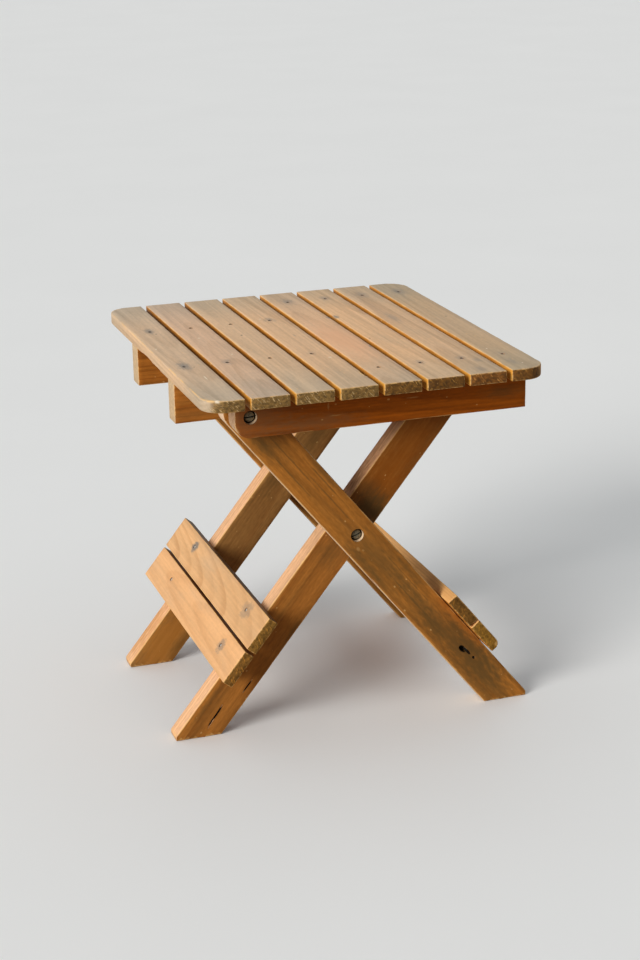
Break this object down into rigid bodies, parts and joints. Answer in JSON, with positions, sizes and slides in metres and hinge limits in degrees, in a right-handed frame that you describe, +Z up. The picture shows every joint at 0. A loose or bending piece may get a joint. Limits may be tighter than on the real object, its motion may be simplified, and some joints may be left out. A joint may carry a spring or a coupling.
{
  "type": "folding stool",
  "caption": "Low wooden folding stool: a slatted seat in two interleaved halves on crossed legs with foot rungs, folding when the seat is lifted.",
  "frame": {"origin": "on the floor, under the middle of the open stool", "axes": "+X along the rails to the right seen from the front, +Y along the slats to the back, +Z up"},
  "size_m": [0.372, 0.388, 0.376],
  "materials": {
    "seat_wood": "worn matt varnish",
    "rail_wood": "satin varnish",
    "leg_wood": "satin varnish",
    "rung_wood": "satin varnish",
    "nail_steel": "dull, dark",
    "screw_steel": "dull, dark",
    "washer_steel": "plain"
  },
  "bodies": {
    "outer_legs": {"outer_leg_front": "leg_wood", "outer_leg_back": "leg_wood", "right_rung_lower": "rung_wood", "right_rung_upper": "rung_wood", "right_rung_lower_nail_front": "nail_steel", "right_rung_lower_nail_back": "nail_steel", "right_rung_upper_nail_front": "nail_steel", "right_rung_upper_nail_back": "nail_steel", "left_pivot_screw_front": "screw_steel", "left_pivot_screw_back": "screw_steel", "left_pivot_washer_front": "washer_steel", "left_pivot_washer_back": "washer_steel"},
    "inner_legs": {"inner_leg_front": "leg_wood", "inner_leg_back": "leg_wood", "left_rung_lower": "rung_wood", "left_rung_upper": "rung_wood", "left_rung_lower_nail_front": "nail_steel", "left_rung_lower_nail_back": "nail_steel", "left_rung_upper_nail_front": "nail_steel", "left_rung_upper_nail_back": "nail_steel", "cross_pivot_screw_front": "screw_steel", "cross_pivot_screw_back": "screw_steel", "cross_pivot_washer_front": "washer_steel", "cross_pivot_washer_back": "washer_steel", "right_pivot_screw_front": "screw_steel", "right_pivot_screw_back": "screw_steel", "right_pivot_washer_front": "washer_steel", "right_pivot_washer_back": "washer_steel"},
    "right_seat": {"outer_rail_front": "rail_wood", "outer_rail_back": "rail_wood", "slat_5": "seat_wood", "slat_6": "seat_wood", "slat_7": "seat_wood", "slat_8": "seat_wood", "slat_5_nail_front": "nail_steel", "slat_5_nail_back": "nail_steel", "slat_6_nail_front": "nail_steel", "slat_6_nail_back": "nail_steel", "slat_7_nail_front": "nail_steel", "slat_7_nail_back": "nail_steel", "slat_8_nail_front": "nail_steel", "slat_8_nail_back": "nail_steel"},
    "left_seat": {"inner_rail_front": "rail_wood", "inner_rail_back": "rail_wood", "slat_1": "seat_wood", "slat_2": "seat_wood", "slat_3": "seat_wood", "slat_4": "seat_wood", "slat_1_nail_front": "nail_steel", "slat_1_nail_back": "nail_steel", "slat_2_nail_front": "nail_steel", "slat_2_nail_back": "nail_steel", "slat_3_nail_front": "nail_steel", "slat_3_nail_back": "nail_steel", "slat_4_nail_front": "nail_steel", "slat_4_nail_back": "nail_steel"}
  },
  "joints": [
    {"name": "leg_fold", "type": "hinge", "parent": "outer_legs", "child": "inner_legs", "pos_m": [0, 0.0065, 0.203], "axis": [0, -1, 0], "range_deg": [0, 76]},
    {"name": "right_seat_pivot", "type": "hinge", "parent": "outer_legs", "child": "right_seat", "pos_m": [-0.1135, 0.0065, 0.3432], "axis": [0, -1, 0], "range_deg": [0, 110]},
    {"name": "left_seat_pivot", "type": "hinge", "parent": "inner_legs", "child": "left_seat", "pos_m": [0.1135, 0.0065, 0.3432], "axis": [0, 1, 0], "range_deg": [0, 110]}
  ],
  "couplings": [
    {"joint": "right_seat_pivot", "follows": "leg_fold", "ratio": 1.445},
    {"joint": "left_seat_pivot", "follows": "leg_fold", "ratio": 1.445}
  ]
}
